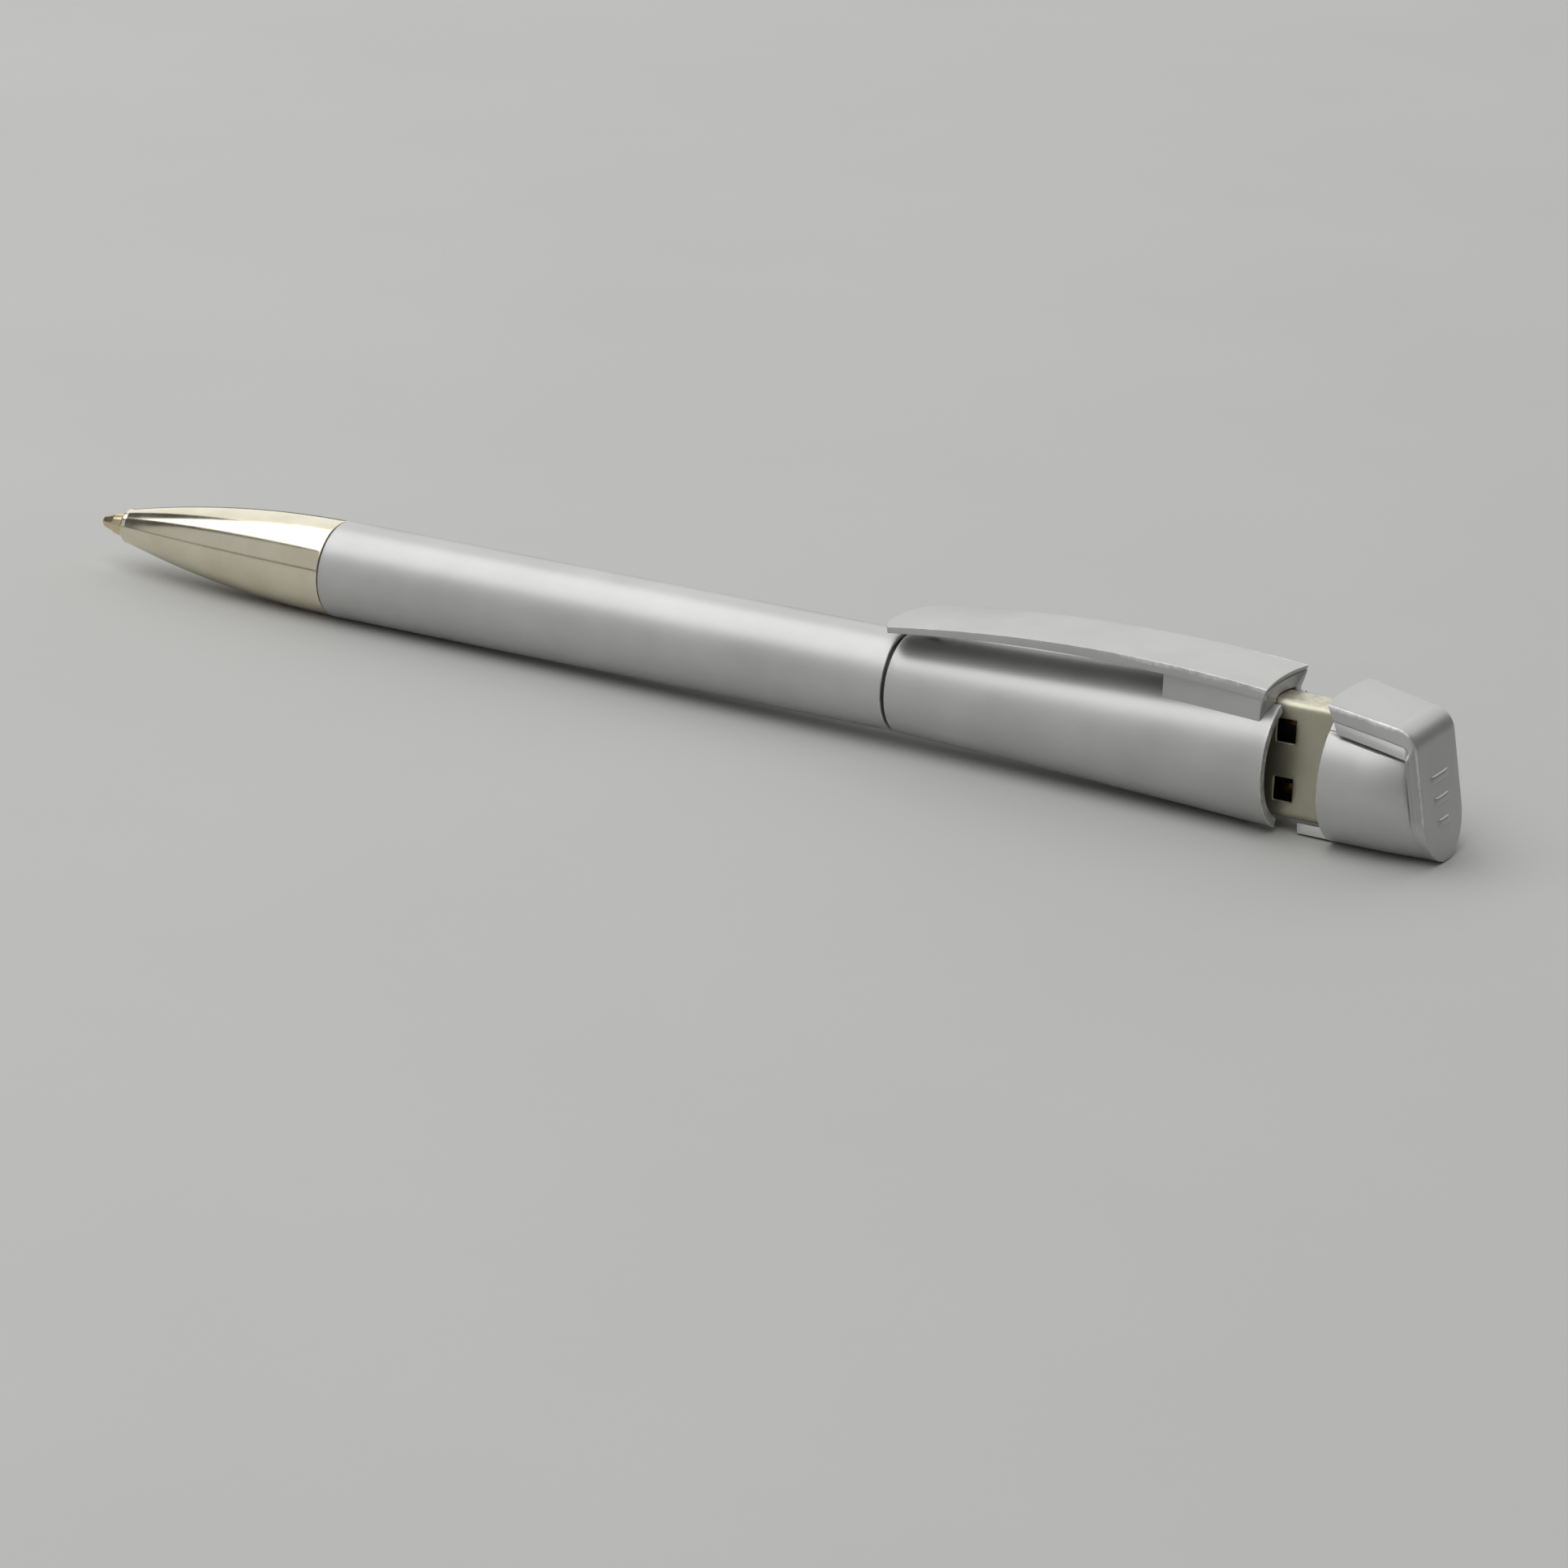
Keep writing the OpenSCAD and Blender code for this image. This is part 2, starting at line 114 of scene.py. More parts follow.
# %% [markdown]
# ## Surfaces from arrays
# Almost every part of a pen is either turned on a lathe or bent from a sheet. Two functions cover both. One skins
# a grid of points, and the other makes a wall between two grids, with a rim along every edge and round every
# hole. A third rounds the corners of a profile, because no real edge is perfectly sharp and the small radius is
# what catches the light.


# %% Profiles and grids
def softened(corners, radius, steps=4):
    """A closed outline with rounded corners. Each corner P becomes a parabola (1-t)^2 A + 2t(1-t) P + t^2 B,
    from A on the edge before it to B on the edge after it, both at the given radius or at half the edge."""
    p = np.asarray(corners, float)
    before, after = np.roll(p, 1, 0) - p, np.roll(p, -1, 0) - p
    reach = np.broadcast_to(radius, len(p))[:, None]
    a = p + before * np.minimum(reach / np.linalg.norm(before, axis=1, keepdims=True), 0.49)
    b = p + after * np.minimum(reach / np.linalg.norm(after, axis=1, keepdims=True), 0.49)
    t = np.linspace(0, 1, steps + 1)[None, :, None]
    curve = ((1 - t) ** 2 * a[:, None] + 2 * t * (1 - t) * p[:, None] + t**2 * b[:, None]).reshape(-1, 2)
    return curve[np.linalg.norm(curve - np.roll(curve, 1, 0), axis=1) > 1e-5]


def spaced(marks, counts):
    """Values from the first mark to the last, evenly spaced between neighbouring marks."""
    runs = [np.linspace(a, b, n, endpoint=False) for a, b, n in zip(marks, marks[1:], counts)]
    return np.concatenate([*runs, marks[-1:]])


def turned(profile, turns=160):
    """Grid of a profile of (x, r) points turned about the pen's axis: y = r sin(a), z = r cos(a)."""
    a = np.linspace(0, 2 * np.pi, turns, endpoint=False)[None, :]
    x, r = np.asarray(profile, float).T[:, :, None]
    return np.stack(np.broadcast_arrays(x + 0 * a, r * np.sin(a), r * np.cos(a)), -1)


def skin(grid, loop_rows=False, loop_columns=True):
    """Points and quads of one grid. A looped direction joins its last line to its first."""
    rows, columns, _ = grid.shape
    index = np.arange(rows * columns).reshape(rows, columns)
    index = np.vstack([index, index[:1]]) if loop_rows else index
    index = np.hstack([index, index[:, :1]]) if loop_columns else index
    quads = np.stack([index[:-1, :-1], index[1:, :-1], index[1:, 1:], index[:-1, 1:]], -1)
    return grid.reshape(-1, 3), quads.reshape(-1, 4)


def wall(outer, inner, keep=None, loop=False):
    """A wall between two grids of the same shape, where keep is true: both faces, and a strip across the
    thickness along every edge between a kept cell and a missing one."""
    rows, columns, _ = outer.shape
    index = np.arange(rows * columns).reshape(rows, columns)
    index = np.hstack([index, index[:, :1]]) if loop else index
    a, b, c, d = index[:-1, :-1], index[1:, :-1], index[1:, 1:], index[:-1, 1:]
    keep = np.ones(a.shape, bool) if keep is None else keep
    around = np.pad(keep, 1)
    if loop:
        around[1:-1, 0], around[1:-1, -1] = keep[:, -1], keep[:, 0]
    front = np.stack([a, b, c, d], -1)[keep]
    faces = [front, front[:, ::-1] + rows * columns]
    sides = ((around[:-2, 1:-1], a, d), (around[2:, 1:-1], c, b),
             (around[1:-1, :-2], b, a), (around[1:-1, 2:], d, c))
    for beyond, p, q in sides:
        edge = keep & ~beyond
        faces.append(np.stack([p[edge], q[edge], q[edge] + rows * columns, p[edge] + rows * columns], -1))
    return np.vstack([outer.reshape(-1, 3), inner.reshape(-1, 3)]), np.vstack(faces)


# %% [markdown]
# ## From surfaces to a piece
# A piece is one object with its place in its mesh. Doubled points at poles and seams are merged, and the normals
# are then made to point outwards. A small bevel rounds what is still sharp. A number is kept at each point so
# that the finish can lighten it: where paint would rub off, and on the clip and the cap's frame as a painted
# highlight along the edges that catch the light.


# %% Build a piece
def piece(name, parts, body, material, stands_for=(), bevel=0.0, wear_and_sheen=None, sharp=40.0):
    """One object from (points, quads) parts in millimetres. bevel is the radius of its sharp edges, in
    millimetres. body is None for a piece that is left unattached to any body."""
    offsets = np.cumsum([0] + [len(points) for points, _ in parts[:-1]])
    points = np.vstack([p for p, _ in parts]) * MM
    quads = np.vstack([f + o for (_, f), o in zip(parts, offsets)])
    mesh = bpy.data.meshes.new(name)
    mesh.from_pydata(points.tolist(), [], quads.tolist())
    work = bmesh.new()
    work.from_mesh(mesh)
    bmesh.ops.remove_doubles(work, verts=work.verts, dist=1e-7)
    bmesh.ops.recalc_face_normals(work, faces=work.faces)
    work.to_mesh(mesh)
    work.free()
    obj = bpy.data.objects.new(name, mesh)
    bpy.context.scene.collection.objects.link(obj)
    if bevel:
        round_off = obj.modifiers.new("round_off", "BEVEL")
        round_off.width, round_off.segments, round_off.limit_method = bevel * MM, 3, "ANGLE"
        round_off.angle_limit, round_off.use_clamp_overlap = math.radians(32), True
        graph = bpy.context.evaluated_depsgraph_get()
        obj.data = bpy.data.meshes.new_from_object(obj.evaluated_get(graph), depsgraph=graph)
        obj.modifiers.clear()
    obj.data.name = name
    obj.data.shade_smooth()
    obj.data.set_sharp_from_angle(angle=math.radians(sharp))
    # The number at each point marks paint rubbed through and, on the clip and the cap's frame, a painted highlight
    # along the edges.
    if wear_and_sheen:
        place = np.empty(len(obj.data.vertices) * 3, np.float32)
        obj.data.vertices.foreach_get("co", place)
        amount = wear_and_sheen(*(place.reshape(-1, 3).T / MM)).astype(np.float32)
        obj.data.attributes.new("wear_and_sheen", "FLOAT", "POINT").data.foreach_set("value", amount)
    obj.data.materials.clear()
    obj.data.materials.append(material)
    if body:
        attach(obj, body)
    if stands_for:
        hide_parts(*stands_for)
    print(f"{name}: {len(obj.data.vertices)} points, {len(obj.data.polygons)} faces")
    return obj


# %% [markdown]
# ## Finishes
# Colours are written as they look on a screen and turned to linear light in one place. Every finish reads the
# object's own coordinates, so it stays on its piece when the piece moves. Two noises do most of the work: one at
# the size of the real grain, for relief and gloss, and one at the size of a fingertip, for the slow changes that
# handling leaves.


# %% Colour, scale and node helpers
def linear(hex_colour):
    """Linear RGBA of an sRGB colour such as #8a8b8e."""
    srgb = np.array([int(hex_colour[i:i + 2], 16) for i in (1, 3, 5)]) / 255
    rgb = np.where(srgb <= 0.04045, srgb / 12.92, ((srgb + 0.055) / 1.055) ** 2.4)
    return (*rgb.tolist(), 1.0)


def per_mm(size):
    """Texture scale whose features are about size millimetres across, as coordinates are in metres."""
    return 1 / (size * MM)


def add(tree, kind, inputs=(), **settings):
    """Adds a node, sets its properties, and sets each input to a value or links it to a socket."""
    made = tree.nodes.new(kind)
    for key, value in settings.items():
        setattr(made, key, value)
    for key, value in dict(inputs).items():
        if isinstance(value, bpy.types.NodeSocket):
            tree.links.new(value, made.inputs[key])
        else:
            made.inputs[key].default_value = value
    return made


def finish(name, dark, light, gloss, grain, relief, patch=5.0, along=(1, 1, 1), worn_or_sheen_colour=None, **shader):
    """A finish whose colour drifts between dark and light in patches of that size, whose roughness runs over
    gloss = (low, high), and whose relief in millimetres has that grain. along squeezes the grain along X, Y or
    Z, as lathe marks and drawing marks are. The last colour argument shows where the number kept at each point is
    high: paint rubbed through, and on the clip and the cap's frame a painted highlight."""
    material = bpy.data.materials.new(name)
    material.use_nodes = True
    tree = material.node_tree
    tree.nodes.clear()
    place = add(tree, "ShaderNodeTexCoord")
    squeezed = add(tree, "ShaderNodeMapping", {"Vector": place.outputs["Object"], "Scale": along})
    patches = add(tree, "ShaderNodeTexNoise", {"Vector": place.outputs["Object"], "Scale": per_mm(patch),
                                               "Detail": 3.0, "Roughness": 0.55})
    grains = add(tree, "ShaderNodeTexNoise", {"Vector": squeezed.outputs["Vector"], "Scale": per_mm(grain),
                                              "Detail": 2.0, "Roughness": 0.6})
    drift = add(tree, "ShaderNodeMapRange", {"Value": patches.outputs[0], "From Min": 0.35, "From Max": 0.65})
    colour = add(tree, "ShaderNodeMix", {0: drift.outputs[0], 6: linear(dark), 7: linear(light)}, data_type="RGBA")
    both = add(tree, "ShaderNodeMath", {0: patches.outputs[0], 1: grains.outputs[0]}, operation="MULTIPLY")
    rough = add(tree, "ShaderNodeMapRange", {"Value": both.outputs[0], "From Min": 0.1, "From Max": 0.4,
                                             "To Min": gloss[0], "To Max": gloss[1]})
    bump = add(tree, "ShaderNodeBump", {"Height": grains.outputs[0], "Distance": relief * MM, "Strength": 1.0})
    surface = add(tree, "ShaderNodeBsdfPrincipled", {
        "Base Color": colour.outputs[2], "Roughness": rough.outputs[0], "Normal": bump.outputs[0], **shader})
    # Where the number kept at each point is high, in patches, a lighter colour is mixed in: paint rubbed through,
    # and on the clip and the cap's frame a painted highlight.
    if worn_or_sheen_colour:
        wear_and_sheen_read = add(tree, "ShaderNodeAttribute", attribute_name="wear_and_sheen")
        patchy_noise = add(tree, "ShaderNodeTexNoise", {"Vector": place.outputs["Object"], "Scale": per_mm(1.1),
                                                  "Detail": 4.0, "Roughness": 0.7})
        where = add(tree, "ShaderNodeMath", {0: wear_and_sheen_read.outputs["Fac"], 1: patchy_noise.outputs[0]}, operation="MULTIPLY")
        shown = add(tree, "ShaderNodeMapRange", {"Value": where.outputs[0], "From Min": 0.3, "From Max": 0.62})
        worn_or_sheen_mix = add(tree, "ShaderNodeMix", {0: shown.outputs[0], 6: colour.outputs[2], 7: linear(worn_or_sheen_colour)},
                   data_type="RGBA")
        tree.links.new(worn_or_sheen_mix.outputs[2], surface.inputs["Base Color"])
    add(tree, "ShaderNodeOutputMaterial", {"Surface": surface.outputs[0]})
    return material


# %% [markdown]
# ### Silver lacquer
# The barrels, the clip and the cap are ABS, moulded and sprayed with a satin lacquer full of aluminium flakes.
# The flakes make it behave like a rough metal: a broad soft highlight that dies away quickly. Real flakes are
# about 0.03 mm, too fine to show, so the grain here is 0.14 mm and very shallow. The lacquer rubs brighter at the
# ends of the barrels and at the cap's rim, and a painted highlight lightens the edges of the clip and the cap's
# frame.

# %% Silver lacquer
# The light colour #ececec shows on rubbed ends and rims, and as a painted highlight along the edges of the clip
# and the cap's frame.
lacquer = finish("silver_lacquer_on_abs", "#b9b9b8", "#c2c2c1", gloss=(0.38, 0.45), grain=0.14, relief=0.0018,
                 patch=9.0, worn_or_sheen_colour="#ececec", Metallic=0.62, **{"Coat Weight": 0.15, "Coat Roughness": 0.3})

# %% [markdown]
# ### Champagne chrome
# The nose is turned brass, polished and plated in a pale gold. Polished plating shows the room as clean bands.
# Only faint turning marks and a slight haze break them.

# %% Champagne chrome
champagne = finish("champagne_chrome_plate", "#dbd4bc", "#e2dcc8", gloss=(0.1, 0.16), grain=0.3, relief=0.0006,
                   patch=4.0, along=(1, 0.08, 0.08), worn_or_sheen_colour="#f1ede0", Metallic=1.0)

# %% [markdown]
# ### Metals inside and at the ends
# The plug's shell is rolled steel with a nickel flash, a little warm and brushed along its length. The writing
# tip is turned brass, the ball is tungsten carbide, the refill tube is drawn steel and the spring is drawn wire.

# %% Metals
plug_metal = finish("nickel_plated_rolled_steel", "#b3b09c", "#bcb9a6", gloss=(0.34, 0.42), grain=0.2,
                    relief=0.0005, patch=4.0, along=(0.12, 1, 1), worn_or_sheen_colour="#ebe6d2", Metallic=0.9)
brass = finish("turned_brass", "#cdbf98", "#d6caa6", gloss=(0.2, 0.3), grain=0.12, relief=0.0012, patch=2.0,
               along=(1, 0.1, 0.1), worn_or_sheen_colour="#e2cc94", Metallic=1.0)
carbide = finish("ground_tungsten_carbide", "#6f7174", "#808286", gloss=(0.12, 0.2), grain=0.08, relief=0.0005,
                 patch=0.6, Metallic=1.0)
drawn_steel = finish("drawn_steel_tube", "#9da0a4", "#abaeb2", gloss=(0.22, 0.32), grain=0.2, relief=0.0012,
                     patch=6.0, along=(0.1, 1, 1), Metallic=1.0)
spring_wire = finish("drawn_spring_wire", "#8f9296", "#a5a8ab", gloss=(0.18, 0.28), grain=0.15, relief=0.0008,
                     patch=2.5, Metallic=1.0)
gold = finish("electroplated_gold", "#c9a24b", "#d8b35e", gloss=(0.18, 0.28), grain=0.1, relief=0.0008, patch=1.5,
              Metallic=1.0)

# %% [markdown]
# ### Plastics, rubber, ink and board
# Moulded plastics have the fine texture that the mould was spark-eroded with, about 0.1 mm across. Nylon and
# acetal parts of the twist mechanism are smoother and let light in a little. Rubber is dull. Ink is glossy and
# nearly black.

# %% Plastics and the rest
black_abs = finish("moulded_black_abs", "#0d0d0e", "#17171a", gloss=(0.4, 0.55), grain=0.12, relief=0.003)
dark_nylon = finish("moulded_dark_nylon", "#1f2022", "#292a2d", gloss=(0.45, 0.6), grain=0.12, relief=0.003)
white_acetal = finish("moulded_white_acetal", "#dcdad2", "#e6e4dc", gloss=(0.32, 0.44), grain=0.15, relief=0.002,
                      **{"Subsurface Weight": 0.1, "Subsurface Scale": 0.0005})
ivory_acetal = finish("moulded_ivory_acetal", "#d8cfb4", "#e2dac0", gloss=(0.32, 0.44), grain=0.15, relief=0.002,
                      **{"Subsurface Weight": 0.1, "Subsurface Scale": 0.0005})
nitrile = finish("moulded_nitrile_rubber", "#141415", "#1d1d1f", gloss=(0.7, 0.85), grain=0.1, relief=0.004)
ink = finish("blue_ballpoint_ink", "#0a1030", "#101a44", gloss=(0.08, 0.14), grain=0.5, relief=0.001)
grease = finish("ink_follower_grease", "#c9bf8d", "#d6cd9e", gloss=(0.2, 0.3), grain=0.6, relief=0.004)
solder_mask = finish("green_solder_mask_on_glass_epoxy", "#0f3d24", "#175232", gloss=(0.25, 0.35), grain=0.35,
                     relief=0.002, patch=1.5)
epoxy = finish("moulded_black_epoxy", "#151516", "#202022", gloss=(0.5, 0.62), grain=0.08, relief=0.003, patch=1.0)
can = finish("drawn_nickel_silver_can", "#b4b4ae", "#c2c2bc", gloss=(0.2, 0.3), grain=0.12, relief=0.001,
             patch=1.0, Metallic=1.0)
ceramic = finish("sintered_ceramic", "#a98a66", "#b99a76", gloss=(0.45, 0.6), grain=0.06, relief=0.002, patch=0.5)
print(len(bpy.data.materials), "finishes")

# %% [markdown]
# ## Carried-over parts
# What sits inside the pen already has the right shape in the CAD, so it keeps its mesh and only gets a finish.

# %% Finish the inner parts
inner_finishes = {
    black_abs: ["joint_ring", "plug_insulator"],
    dark_nylon: ["socket_liner", "board_carrier"],
    white_acetal: ["guide_tube", "refill_end"],
    ivory_acetal: ["cam_sleeve", "thrust_plunger"],
    nitrile: ["friction_ring"],
    spring_wire: ["return_spring", "retaining_ring"],
    carbide: ["refill_ball"],
    drawn_steel: ["refill_tube"],
    ink: ["refill_ink"],
    grease: ["ink_follower"],
    gold: ["plug_contacts"],
    solder_mask: ["circuit_board"],
    epoxy: ["memory_chip", "controller_chip"],
    can: ["clock_crystal"],
    ceramic: ["capacitors"],
}
for material, nodes in inner_finishes.items():
    for node in nodes:
        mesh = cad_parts[node].data
        mesh.materials.clear()
        mesh.materials.append(material)
print(sum(map(len, inner_finishes.values())), "CAD parts keep their shape")


# %% [markdown]
# ## The nose
# The nose is one turned part with a long, slightly swelling taper and a spigot that screws into the barrel. A
# lathe makes it, so a profile turned about the axis is the natural way. The swell is a parabola that starts
# tangent to the barrel at the seam.


# %% Turn the nose
seam_step, nose_curve = 0.05, 233.0


def nose_r(x):
    """Radius of the nose: a step below the barrel's, less the square of the distance from the seam over 233 mm."""
    return barrel_r - seam_step - (seam_x - x) ** 2 / nose_curve


spring_seat = start("return_spring") - 0.05
spigot_x, spigot_r, bore_r, guide_r, mouth_r = seam_x + 6.7, 4.25, 3.35, 2.45, 1.5
taper_x = np.linspace(rim_x + 0.75, seam_x - 0.16, 60)
taper = np.stack([taper_x, nose_r(taper_x)], -1)
nose_outline = np.vstack([
    [[rim_x, mouth_r], [rim_x, 1.68], [rim_x + 0.26, 1.92]], taper,
    [[seam_x - 0.1, nose_r(seam_x) - 0.08], [seam_x - 0.1, spigot_r], [spigot_x, spigot_r], [spigot_x, bore_r],
     [seam_x - 13.8, bore_r], [seam_x - 14.8, guide_r], [spring_seat, guide_r], [spring_seat, mouth_r]]])
piece("nose_cone_skin", [skin(turned(softened(nose_outline, 0.06), 192), loop_rows=True)], "lower_half",
      champagne, ["nose_cone"],
      wear_and_sheen=lambda x, y, z: np.exp(-np.abs(x - rim_x) / 0.5) + 0.6 * np.exp(-np.abs(x - seam_x) / 0.2))

# %% [markdown]
# ## The writing tip
# The refill ends in a small brass cone that is crimped round the ball. It has a shoulder where the cone meets
# the shank. It is turned too, with a rounded crimp.

# %% Turn the tip
ball_x = (start("refill_ball") + end("refill_ball")) / 2
tip_x = start("refill_ball")
tip_outline = [[tip_x + 0.3, 0.46], [tip_x + 0.3, 0.56], [tip_x + 0.62, 0.68], [tip_x + 1.62, 1.0],
               [tip_x + 1.82, 1.14], [tip_x + 3.2, 1.35], [tip_x + 24, 1.35], [tip_x + 24, 0.3],
               [ball_x + 0.45, 0.3], [ball_x + 0.2, 0.52]]
piece("refill_tip_skin", [skin(turned(softened(tip_outline, 0.08), 96), loop_rows=True)], "refill",
      brass, ["refill_tip"], wear_and_sheen=lambda x, y, z: np.exp(-np.abs(x - tip_x - 0.4) / 0.4))

# %% [markdown]
# ## The lower barrel
# A straight moulded tube with a small radius at each end. The gap at the nose and the groove at the twist joint
# are both read by their dark line, so the radii matter more than the tube.

# %% Turn the lower barrel
bush_seat, socket_bore_r, bush_bore_r, tube_r = lower_end - 11.4, 4.3, 4.25, 3.9
lower_outline = [
    [seam_x + 0.05, socket_bore_r], [seam_x + 0.05, barrel_r], [seam_x + 0.6, barrel_r], [seam_x + 3, barrel_r],
    [lower_end - 3, barrel_r], [lower_end - 0.6, barrel_r], [lower_end, barrel_r], [lower_end, bush_bore_r],
    [bush_seat, bush_bore_r], [bush_seat - 0.5, tube_r], [seam_x + 7.5, tube_r], [seam_x + 7.1, socket_bore_r]]
piece("lower_barrel_skin", [skin(turned(softened(lower_outline, 0.14), 192), loop_rows=True)], "lower_half",
      lacquer, ["lower_barrel"],
      wear_and_sheen=lambda x, y, z: np.exp(-np.minimum(x - seam_x, lower_end - x) / 0.25))


# %% [markdown]
# ## The upper barrel
# The upper barrel flares gently to the tail, where it is a thin-walled socket for the memory stick. Its rim is
# notched below for the stick's tongue, and slotted above, under the clip, for the edge of the plug. It is a wall
# between two turned grids, with the cells of the notch and of the slot left out, and its bore is flattened below
# where the plug's lower edge slides.


# %% Make the upper barrel
joint_step, socket_mouth_r, socket_taper = 0.02, 5.95, 0.0415


def upper_r(x):
    """Radius of the upper barrel: four fifths of the flare as a straight line and one fifth as a parabola."""
    u = (x - joint_x) / (tail_x - joint_x)
    return barrel_r + joint_step + (tail_r - barrel_r - joint_step) * (0.8 * u + 0.2 * u**2)


def socket_r(x):
    """Inner radius of the tail socket: 5.95 mm at its mouth, and 4.15 percent of the depth less inside."""
    return socket_mouth_r - socket_taper * (tail_x - x)


slot_a, notch_a = math.radians(24), math.radians(23.6)
slot_x, notch_x = start("plug_shell") - 6.3, tail_x - 4.2
lip_x, lip_end, sleeve_bore_r, lip_r, plug_play = joint_x + 25.25, joint_x + 27.15, 4.5, 4.0, 0.125
angles = spaced([-slot_a, slot_a, math.pi - notch_a, math.pi + notch_a, 2 * math.pi - slot_a],
                [16, 64, 16, 64])[:-1]
barrel_x = spaced([upper_start, lip_x - 0.05, lip_x + 0.05, lip_end - 0.05, lip_end + 0.05, slot_x, notch_x,
                   tail_x], [24, 1, 2, 1, 6, 8, 10])
bore = np.select([barrel_x < lip_x, barrel_x < lip_end], [sleeve_bore_r, lip_r], socket_r(barrel_x))
a = angles[None, :]
pocket = plug_play - start("plug_shell", Z)
low = (np.abs(a - math.pi) < notch_a + 0.001) & (barrel_x[:, None] > slot_x - 0.001)
bore = np.where(low, np.maximum(bore[:, None], pocket / np.abs(np.cos(a))), bore[:, None])
outside = np.stack(np.broadcast_arrays(barrel_x[:, None], upper_r(barrel_x)[:, None] * np.sin(a),
                                       upper_r(barrel_x)[:, None] * np.cos(a)), -1)
inside = np.stack(np.broadcast_arrays(barrel_x[:, None], bore * np.sin(a), bore * np.cos(a)), -1)
mid_a = angles + np.diff(angles, append=2 * math.pi - slot_a) / 2
mid_x = (barrel_x[:-1] + barrel_x[1:]) / 2
in_slot = (np.abs(mid_a) < slot_a)[None, :] & (mid_x > slot_x)[:, None]
in_notch = (np.abs(mid_a - math.pi) < notch_a)[None, :] & (mid_x > notch_x)[:, None]
piece("upper_barrel_skin", [wall(outside, inside, ~(in_slot | in_notch), loop=True)], "upper_half",
      lacquer, ["upper_barrel"], bevel=0.13,
      wear_and_sheen=lambda x, y, z: np.exp(-np.minimum(x - upper_start, tail_x - x) / 0.25))


# %% [markdown]
# ## The clip
# The clip is one springy moulding: a long arched blade with a rounded tip, and a foot that grows out of the
# barrel. Its end is scooped for a fingernail. The blade bends when it is lifted; here it is one piece, attached to
# no body, with its place baked into its points.


# %% Make the clip
crown_x, crown_z, crown_bend = joint_x + 26.1, 9.05, 350.0


def clip_z(x):
    """Height of the clip's top: the crown's, less the square of the distance from the crown over 350 mm."""
    return crown_z - (x - crown_x) ** 2 / crown_bend


blade_x, root_x, foot_end = start("clip_blade"), end("clip_blade"), end("clip_foot")
u, v = np.linspace(0, 1, 90)[:, None], spaced([-1, -0.93, 0.93, 1], [3, 26, 3])[None, :]
half_w, scoop = 4.75, 0.4
blade_front = blade_x + 1.4 * np.abs(v) ** 2.6
blade_end = foot_end - scoop * (1 - v**2)
top_x = blade_front * (1 - u) + blade_end * u
widening = 0.25 * np.clip((top_x - joint_x - 20) / 22, 0, 1) ** 1.5
top_y = (half_w + widening) * v
blade_top = np.stack(np.broadcast_arrays(top_x, top_y, clip_z(top_x) - 0.12 * v**2), -1)
thickness = 0.65 + 0.5 * np.clip((top_x - blade_x) / (root_x - blade_x), 0, 1)
under_x = blade_front * (1 - u) + (blade_end - 0.42) * u
blade_under = np.stack(np.broadcast_arrays(under_x, top_y * 0.985, clip_z(under_x) - thickness - 0.1 * v**2), -1)
print(f"blade {2 * half_w:.1f} mm wide, from {thickness.min():.2f} to {thickness.max():.2f} mm thick")

# %% [markdown]
# The foot is a second wall. Its outer line runs up one side of the foot, under the plate and down the other
# side, and its inner line is the channel that the plug's edge slides in. The bead is an ellipsoid under the tip
# of the blade, where it would grip a pocket.

# %% Make the foot and the bead
plug_top = end("plug_shell", Z)
channel_y, channel_z = 2.375, plug_top + 0.12
w = np.linspace(0, 1, 12)
run = spaced([0, 0.88, 1], [14, 12])[:, None]
side_share = np.concatenate([w[:-1], np.ones(20), w[::-1][1:]])
across = np.concatenate([-np.ones(11), np.linspace(-1, 1, 20), np.ones(11)])
foot_x = (root_x - 0.2) * (1 - run) + (foot_end - 0.08 - scoop * (1 - across**2)) * run
foot_half, sunk, tuck_from = 3.85 + 1.05 * run, 0.15, foot_end - 0.6


def foot_line(half, ceiling, tuck):
    """Up one side, across at the ceiling and down the other, standing on the barrel 0.15 mm below its skin. Near
    the end the base draws in by the share tuck, so that the plate overhangs it."""
    drawn = half * (1 - tuck * np.clip((foot_x - tuck_from) / 0.5, 0, 1) * (1 - side_share))
    base = np.sqrt(upper_r(foot_x) ** 2 - drawn**2) - sunk
    return np.stack(np.broadcast_arrays(foot_x, drawn * across, base + (ceiling - base) * side_share), -1)


foot_outer = foot_line(foot_half, clip_z(foot_x) - 0.6, 0.42)
foot_inner = foot_line(channel_y, np.minimum(channel_z, clip_z(foot_x) - 0.9), 0)
bead_a, bead_b = np.linspace(0, np.pi, 17)[:, None], np.linspace(0, 2 * np.pi, 32, endpoint=False)[None, :]
bead_x, bead_z, bead_long, bead_tall = blade_x + 4, 6.3, 1.1, 0.85
bead = np.stack(np.broadcast_arrays(
    bead_x + bead_long * np.sin(bead_a) * np.cos(bead_b), np.sin(bead_a) * np.sin(bead_b),
    bead_z + bead_tall * np.cos(bead_a)), -1)
# On the clip the number kept at each point is a painted highlight: it lightens both edges of the blade's top,
# where the rounded edge catches the light.
clip = piece("pen_clip", [wall(blade_top, blade_under), wall(foot_outer, foot_inner), skin(bead)], None,
             lacquer, ["clip_blade", "clip_foot"], bevel=0.15,
             wear_and_sheen=lambda x, y, z: np.clip(np.exp((np.abs(y) - 4.8) / 0.12) * (z > clip_z(x) - 0.45), 0, 1))
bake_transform(clip)


